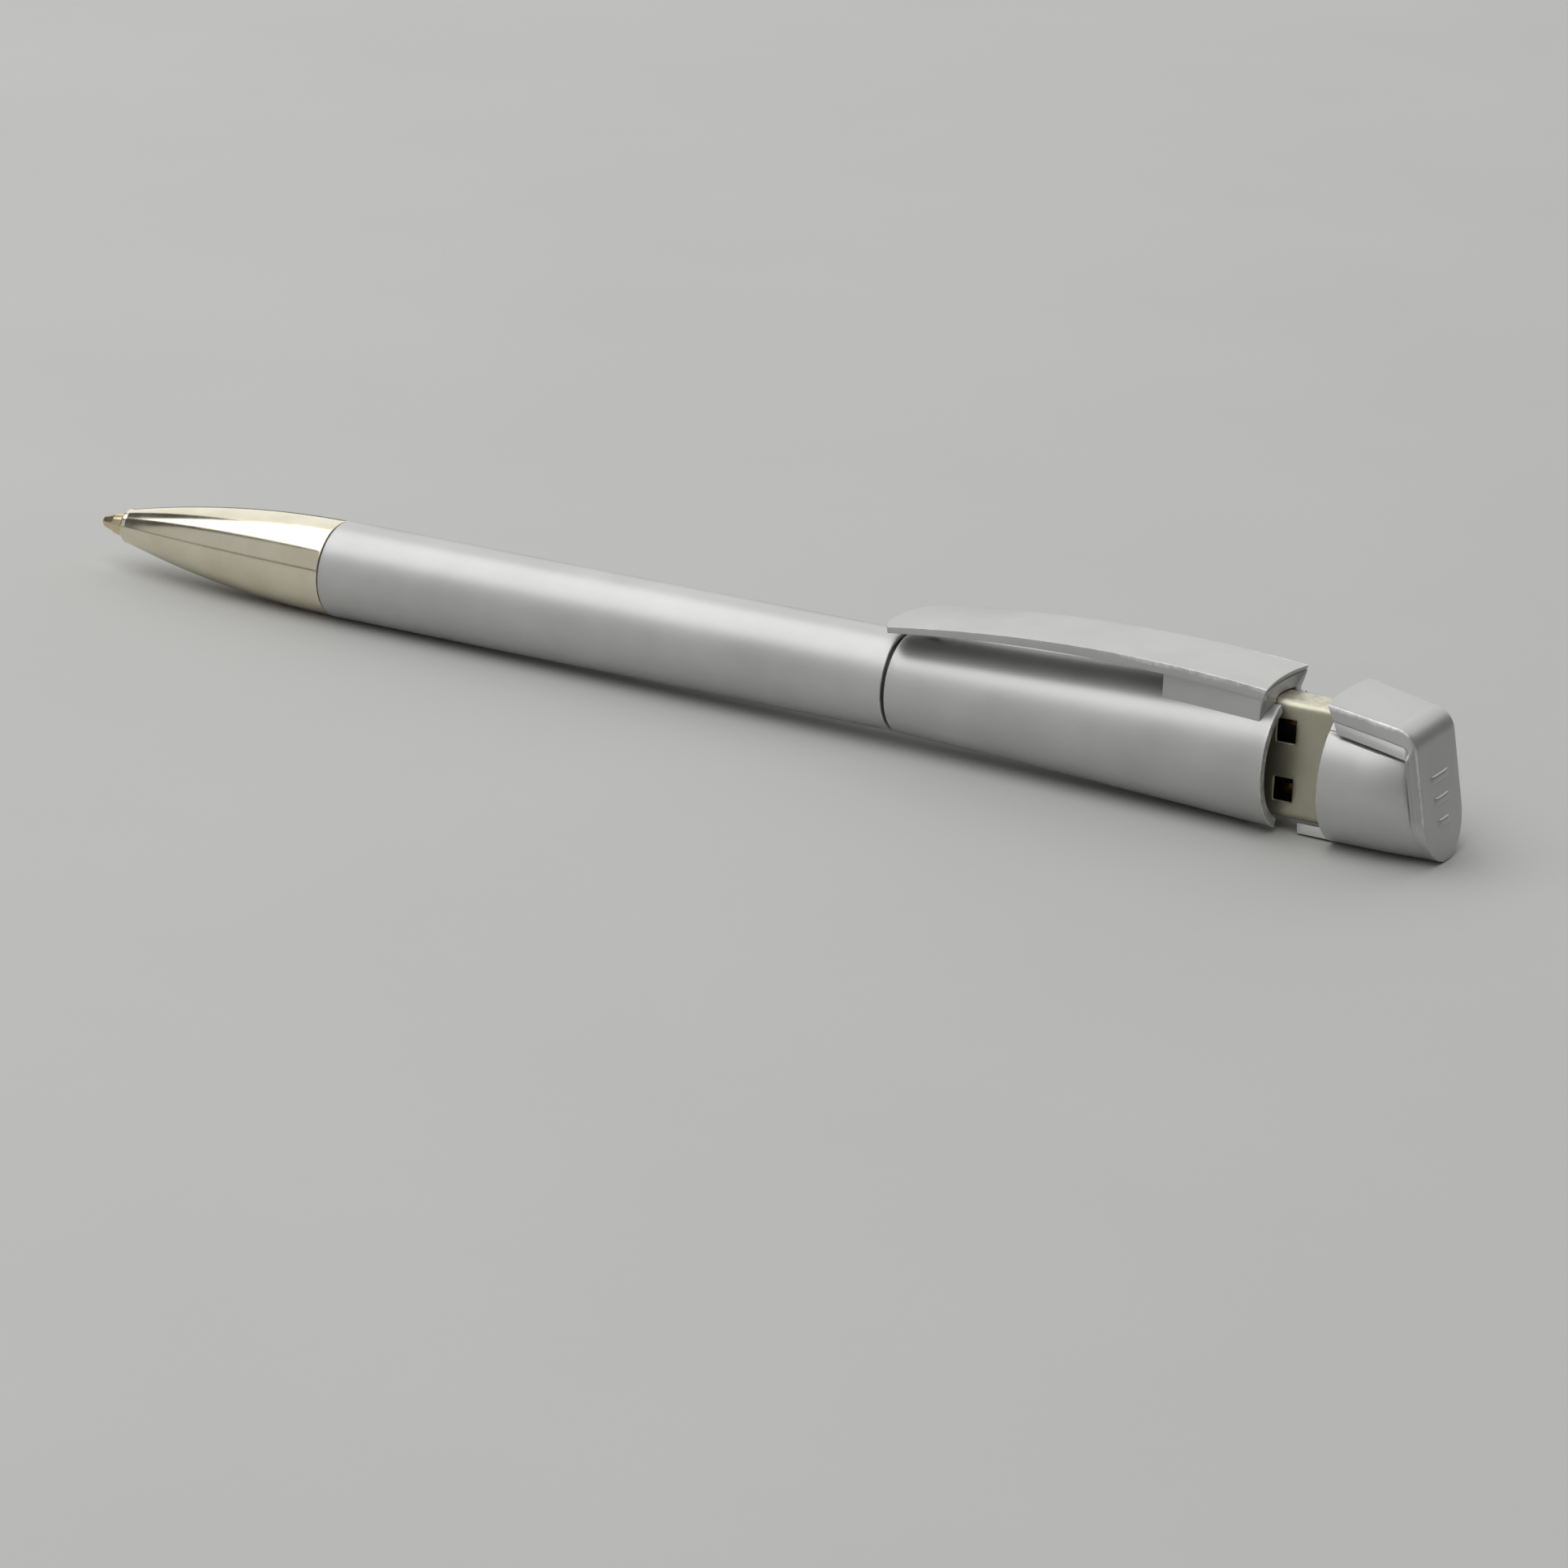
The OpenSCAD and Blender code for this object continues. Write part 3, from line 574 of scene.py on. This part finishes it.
# %% [markdown]
# ## The plug
# The plug is a strip of steel folded into a box 12 by 4.5 mm, with two windows in each wide face. The folded
# edges are round, the front edge is drawn in a little and the windows are punched. A wall of 0.3 mm round a
# rounded rectangle makes it, with the cells of the windows left out.

# %% Fold the plug's shell
plug_front, shell_end = start("plug_shell"), end("plug_shell")
plug_mid = (start("plug_shell", Z) + end("plug_shell", Z)) / 2
window_x, window_z, window_w, window_h = plug_front + 5.16, 3.0, 2.0, 2.4
plug_w, plug_h, fold_r, sheet_t, lead_in = 4.5, 12.0, 0.75, 0.3, 0.5


def box_line(width, height, radius, flats):
    """Outline of a rounded rectangle in Y and Z: a quarter circle at each corner, and the flats between them. The
    tall sides carry points at the given heights, so that windows can be cut there."""
    t = np.linspace(0, np.pi / 2, 7)
    y0, z0 = width / 2 - radius, height / 2 - radius
    quarter = np.stack([y0 + radius * np.cos(t), z0 + radius * np.sin(t)], -1)
    right = np.stack([np.full(len(flats), width / 2), np.asarray(flats)], -1)
    top = np.stack([np.linspace(y0, -y0, 6)[1:-1], np.full(4, height / 2)], -1)
    half = np.vstack([right, quarter, top, quarter[::-1] * [-1, 1]])
    return np.vstack([half, half * [-1, -1]])


window_low, window_high = window_z - window_h / 2, window_z + window_h / 2
flats = spaced([-5.0, -window_high, -window_low, window_low, window_high, 5.0], [3, 5, 5, 5, 3])
plug_x = spaced([plug_front, plug_front + lead_in, window_x - window_w / 2, window_x + window_w / 2, shell_end],
                [5, 8, 5, 16])
drawn_in = 0.12 * np.clip(1 - (plug_x - plug_front) / lead_in, 0, 1)[:, None, None] ** 2
outer_line = box_line(plug_w, plug_h, fold_r, flats)[None]
inner_line = box_line(plug_w - 2 * sheet_t, plug_h - 2 * sheet_t, fold_r - sheet_t, flats)[None]
shrink = 1 - drawn_in / np.array([plug_w / 2, plug_h / 2])


def swept(line):
    """Grid of a (y, z) outline carried along the plug, drawn in at its front."""
    section = line * shrink
    return np.stack(np.broadcast_arrays(plug_x[:, None], section[..., 0], plug_mid + section[..., 1]), -1)


middle = (outer_line[0] + np.roll(outer_line[0], -1, 0)) / 2
mid_plug = (plug_x[:-1] + plug_x[1:]) / 2
at_window = (np.abs(np.abs(middle[:, 1]) - window_z) < window_h / 2) & (np.abs(middle[:, 0]) > plug_w / 2 - 0.05)
window = at_window[None, :] & (np.abs(mid_plug - window_x) < window_w / 2)[:, None]


def plug_wear(x, y, z):
    """Wear of the plug: bright at its front edge, along its narrow folds and round the windows."""
    off_window = np.maximum(np.abs(x - window_x) - window_w / 2,
                            np.abs(np.abs(z - plug_mid) - window_z) - window_h / 2)
    return (0.9 * np.exp(-np.abs(x - plug_front) / 0.4)
            + 0.75 * np.exp((np.abs(z - plug_mid) - plug_h / 2) / 0.3)
            + 0.9 * np.exp(-np.abs(off_window) / 0.15) * (np.abs(y) > 2))


piece("plug_shell_skin", [wall(swept(outer_line), swept(inner_line), ~window, loop=True)], "stick",
      plug_metal, ["plug_shell"], bevel=0.09, wear_and_sheen=plug_wear)


# %% [markdown]
# ## The cap
# The stick's cap carries the pen's tube on to the tail, then draws in to a slanted end. A frame lies over its
# top and end like a strap, and the round body is let in below it. The body is one closed surface: from the
# middle of the bore's floor, out along the bore, round the rim, back along the flank and in over the end. One
# line of the grid follows the edge of the frame, so that the step there is clean.


# %% Make the cap's body
end_slope, end_r, end_mid = 0.18, 4.75, -2.3


def band_z(x):
    """Height of the frame's top: it falls a little faster than the clip."""
    u = x - cap_x + 0.6
    return 8.1 - 0.125 * u - 0.0047 * u**2


def end_line(z):
    """Place of the slanted end face at a height: it leans back 0.18 mm for each millimetre up."""
    return cap_x + 10.1 - end_slope * z


def end_half(z):
    """Half the width of the end face at a height: straight sides with a half circle below."""
    return np.sqrt(np.clip(end_r**2 - np.minimum(z - end_mid, 0) ** 2, 0, None))


skirt, cap_rim = 2.6, cap_x + 0.06
flank = np.linspace(0, 1, 40)
closing = np.array([2.4, 2.1, 1.9, 1.7, 1.52, 1.36, 1.27, 1.18, 1.12,
                    1.07, 1.03, 1.0, 0.95, 0.88, 0.7, 0.5, 0.4, 0.3])
under_frame = 0.28
q = spaced([0, under_frame, under_frame + 0.03, 1], [17, 8, 89])
q = np.concatenate([q, 2 - q[::-1][1:-1]])[None, :]
fold = np.minimum(q, 2 - q)
x = np.zeros((len(flank) + len(closing) - 1, q.shape[1]))
z = cap_r * np.cos(np.pi * fold) + 0 * x
# The edge of the frame, the angle and the place depend on each other, so they are worked out in six rounds.
for _ in range(6):
    last = end_line(z) - closing[0]
    x = np.vstack([cap_rim + flank[:-1, None] * (last[:1] - cap_rim),
                   end_line(z[len(flank) - 1:]) - closing[:, None]])
    edge = np.arccos(np.clip((band_z(x) - skirt) / cap_r, -1, 1))
    theta = np.where(fold < under_frame, edge * fold / under_frame,
                     edge + (np.pi - edge) * (fold - under_frame) / (1 - under_frame))
    z = cap_r * np.cos(theta)
depth = end_line(z) - x
y_side = np.where(q > 1, 1.0, -1.0)
y_round = cap_r * np.sin(theta) * (1 - 0.19 * np.clip(1 - (depth - 1.1) / 5, 0, 1) ** 1.6)
below = np.clip((band_z(x) - skirt - 0.14 - z) / 0.22, 0, 1)
let_in = np.minimum(y_round, 4.55) * (1 - below) + y_round * below
draw = np.interp(depth, [0.3, 0.9, 1.0, 1.07, 1.18, 1.36, 1.7], [0.96, 0.55, 0.5, 0.2, 0.06, 0.01, 0])
low_fade = np.clip((z + 3.6) / 3.0, 0, 1)
soft_draw = np.clip(1 - (depth - 0.3) / 1.8, 0, 1) ** 1.5
drawn = draw * low_fade + soft_draw * (1 - low_fade)
y_end = np.minimum(end_half(z), let_in)
body_y = (let_in + (y_end - let_in) * drawn) * y_side
body_z = np.minimum(z, band_z(x) - 0.55)
body_z = body_z + 0.4 * np.clip(1 - (depth - 0.3) / 0.6, 0, 1) ** 2 * (z < -5)
flank_grid = np.stack([x, body_y, body_z], -1)
angle = np.arctan2(body_y[0], body_z[0])
bore_end, cap_bore_r, rim_r = cap_x + 7.9, 6.0, 6.4


def bore_ring(at, radius):
    """Ring of the bore at a place, with its points at the angles of the flank's first row."""
    return np.stack([np.full(len(angle), at), radius * np.sin(angle), radius * np.cos(angle)], -1)[None]


centre = flank_grid[-1].mean(0)
closed_end = flank_grid[-1][None] + (centre - flank_grid[-1])[None] * np.array([0.3, 0.65, 1.0])[:, None, None]
cap_rows = np.vstack([
    bore_ring(bore_end, 0), bore_ring(bore_end, cap_bore_r / 2), bore_ring(bore_end, cap_bore_r),
    bore_ring(cap_x + 4, cap_bore_r), bore_ring(cap_rim, cap_bore_r), bore_ring(cap_rim, rim_r),
    flank_grid, closed_end])
print(f"cap: {cap_rows.shape[0]} rings of {cap_rows.shape[1]} points")

# %% [markdown]
# The tongue below the rim is a piece of the same tube, and keys the cap into the barrel's notch.

# %% Add the tongue
tongue_a, tongue_out, tongue_in = math.radians(19.2), 7.0, 6.0
t_a = np.linspace(math.pi - tongue_a, math.pi + tongue_a, 14)[None, :]
t_u = np.linspace(0, 1, 8)[:, None]


def tongue(radius):
    """Grid of the tongue at a radius: its front slants back towards the outside."""
    front = cap_x - 3.9 + 0.25 * (radius - 5.95) + 0 * t_a
    return np.stack(np.broadcast_arrays(front + (cap_x + 0.8 - front) * t_u, radius * np.sin(t_a),
                                        radius * np.cos(t_a)), -1)


piece("cap_body_skin", [skin(cap_rows), wall(tongue(tongue_out), tongue(tongue_in))], "stick",
      lacquer, ["cap_body"], bevel=0.07, wear_and_sheen=lambda x, y, z: np.exp(-np.abs(x - cap_x) / 0.25))

# %% [markdown]
# ## The cap's frame
# The frame is a bent strip: flat on top, with skirts that slope outwards to a crease and then to a second, wider
# step. It runs back along the top, turns down over a small radius and narrows to a round foot. Ten paths with
# the same number of points carry it, from the top edge over the crease to the lower edge. The strip is ruled
# between neighbouring paths.

# %% Make the frame
front_x, bend_x = start("cap_band"), cap_x + 7.0
end_tilt = math.atan(end_slope)
arc = np.linspace(np.pi / 2 - 0.2, end_tilt, 14)


def path(drop, set_in):
    """(x, z) points of one edge of the frame, drop below its top and set_in from its end. A circle that touches
    both lines makes the corner, and it is smaller for the lower edges. Lower edges start a little further back."""
    radius = max(2.6 - 0.92 * drop, 0.3)
    corner_z = band_z(bend_x) - drop - radius
    for _ in range(4):
        corner_x = end_line(corner_z) - (set_in + radius) / math.cos(end_tilt)
        corner_z = band_z(corner_x) - drop - radius
    corner = np.stack([corner_x + radius * np.cos(arc), corner_z + radius * np.sin(arc)], -1)
    front = front_x + 0.5 * drop
    top_run = spaced([front, front + 0.6, corner[0, 0]], [3, 24])[:-1]
    down = spaced([corner[-1, 1], end_mid, -6.3, -6.95], [24, 16, 5])[1:]
    return np.vstack([np.stack([top_run, band_z(top_run) - drop], -1), corner,
                      np.stack([end_line(down) - set_in, down], -1)])


def splay(x):
    """Extra half width of the frame's top: nothing at the bend, growing evenly to 0.5 mm at the front."""
    return 0.5 * np.clip((bend_x - x) / (bend_x - front_x), 0, 1)


# Each path: its drop below the top, its distance in from the end, and how far it stands out beyond the half
# width of the end face, first along the top and then down the end.
section = [(0, 0, -0.3, -0.3), (0.05, 0.03, -0.1, -0.1), (0.17, 0.1, -0.02, -0.02), (0.36, 0.2, 0.03, 0.1),
           (0.9, 0.42, 0.14, 0.3), (1.42, 0.62, 0.26, 0.5), (1.58, 0.68, 0.16, 0.54), (1.8, 0.73, 0.32, 0.62),
           (2.2, 0.85, 0.47, 0.74), (skirt, 0.95, 0.62, 0.85)]
edges = [path(drop, set_in) for drop, set_in, _, _ in section]
top_path = edges[0]
along_end = np.clip((cap_r - 1.2 - top_path[:, 1]) / 1.5, 0, 1)
fade = np.clip((top_path[:, 1] + 5.2) / 3.2, 0, 1)
half = []
for edge_line, (drop, _, on_top, on_end) in zip(edges, section):
    spread = on_top + (1 - drop / skirt) * splay(edge_line[:, 0])
    flare = spread * (1 - along_end) + on_end * along_end * np.where(on_end > 0, fade, 1)
    half.append(end_half(edge_line[:, 1]) + flare + 0.02)
across_top = np.linspace(-1, 1, 16)[1:-1]
bow = 0.4 * np.clip(1 - (top_path[:, 0] - front_x) / 3, 0, 1)
inner_edges = [path(drop * 0.65 + 0.9, set_in * 0.5 + 0.48) for drop, set_in, _, _ in section]


def strap(paths, halves):
    """Grid across the frame: up one side along its edges, over the flat top and down the other side."""
    near = [np.stack([p[:, 0] + bow, -np.clip(h, 0.02, None), p[:, 1]], -1) for p, h in zip(paths, halves)]
    flat = [np.stack([paths[0][:, 0] + bow * k**2, np.clip(halves[0], 0.02, None) * k, paths[0][:, 1]], -1)
            for k in across_top]
    far = [line * [1, -1, 1] for line in near]
    return np.stack(near[::-1] + flat + far, 1)


def frame_edge_highlight(x, y, z):
    """Painted highlight on the frame: a bright line along the edge of its top and of its end, fading out towards
    the foot.
    """
    off_edge = np.abs(np.abs(y) - end_half(z) + 0.05 - splay(x))
    outside = np.maximum(z > band_z(x) - 0.4, x > end_line(z) - 0.3)
    return 1.3 * np.exp(-off_edge / 0.2) * outside * np.clip((z + 4) / 2, 0, 1)


strap_t = 0.7
# The frame's edges are lightened by a painted highlight, not by rubbing.
piece("cap_frame", [wall(strap(edges, half), strap(inner_edges, [h - strap_t for h in half]))], "stick",
      lacquer, ["cap_band"], bevel=0.05, sharp=38.0, wear_and_sheen=frame_edge_highlight)

# %% [markdown]
# ## The mark on the end
# The end face carries three plain raised ribs, each shorter than the one above. A rib is a pillow: a grid over
# the end face that rises as the square root of (1 - s^4)(1 - t^4), which gives steep sides and a flat crown.

# %% Raise the ribs
ribs = []
s, t = np.linspace(-1, 1, 33)[:, None], np.linspace(-1, 1, 13)[None, :]
first_z, pitch, half_tall, proud = 1.3, 2.2, 0.4, 0.28
height = proud * ((1 - s**4) * (1 - t**4)) ** 0.5
for i, half_len in enumerate((2.1, 1.7, 1.3)):
    rib_z, rib_y = first_z - pitch * i + half_tall * t + 0 * s, half_len * s + 0 * t
    rib = np.stack([end_line(rib_z) - 0.05 + height, rib_y, rib_z], -1)
    ribs.append(wall(rib, rib - [0.2, 0, 0]))
piece("end_ribs", ribs, "stick", lacquer, ["end_mark"])

# %% [markdown]
# ## Floor and light
# The pen lies on a plain pale floor, which touches it at the nose seam and under the cap. Three soft boxes stand
# round it: a bright one overhead, a weaker one behind and a faint one in front. The polished nose shows all three,
# with the gap between the first two as a thin line. A dim room fills the rest.

# %% Lay the floor
rest_a, rest_b = Vector((seam_x, -barrel_r)), Vector((cap_x + 9.5, -cap_r))
fall = (rest_b.y - rest_a.y) / (rest_b.x - rest_a.x)
reach = 3000.0
corners = [(px * MM, py * MM, (rest_a.y + fall * (px - rest_a.x)) * MM)
           for px, py in ((-reach, -reach), (reach, -reach), (reach, reach), (-reach, reach))]
floor_mesh = bpy.data.meshes.new("floor")
floor_mesh.from_pydata(corners, [], [(0, 1, 2, 3)])
floor = bpy.data.objects.new("floor", floor_mesh)
floor_mesh.materials.append(finish("matt_paper_sweep", "#bebebc", "#c0c0be", gloss=(0.8, 0.9), grain=1.5,
                                   relief=0.002, patch=60.0, **{"Specular IOR Level": 0.2}))
bpy.context.scene.collection.objects.link(floor)
print(f"floor rises {fall * 100:.2f} mm in 100 mm along the pen")


# %% Hang the lights
def soft_box(name, at, width, height, power):
    """A rectangular light at a place in metres, facing the middle of the pen. Its power is in watts."""
    light = bpy.data.lights.new(name, "AREA")
    light.shape, light.size, light.size_y, light.energy = "RECTANGLE", width, height, power
    lamp = bpy.data.objects.new(name, light)
    lamp.location = at
    lamp.rotation_euler = (Vector((-0.05, 0.0, 0.0)) - Vector(at)).to_track_quat("-Z", "Y").to_euler()
    bpy.context.scene.collection.objects.link(lamp)


soft_box("overhead", (-0.25, -0.26, 0.8), width=1.4, height=0.88, power=7.5)
soft_box("behind", (-0.25, 0.65, 0.55), width=1.4, height=1.05, power=4.6)
soft_box("front", (-0.35, -0.83, 0.35), width=1.6, height=0.65, power=1.4)
world = bpy.data.worlds.new("room")
bpy.context.scene.world = world
world.use_nodes = True
background = world.node_tree.nodes["Background"]
background.inputs["Color"].default_value, background.inputs["Strength"].default_value = linear("#d4d4d4"), 0.14
bpy.context.scene.view_settings.view_transform = "Standard"
print(len(bpy.data.lights), "soft boxes and a dim room")
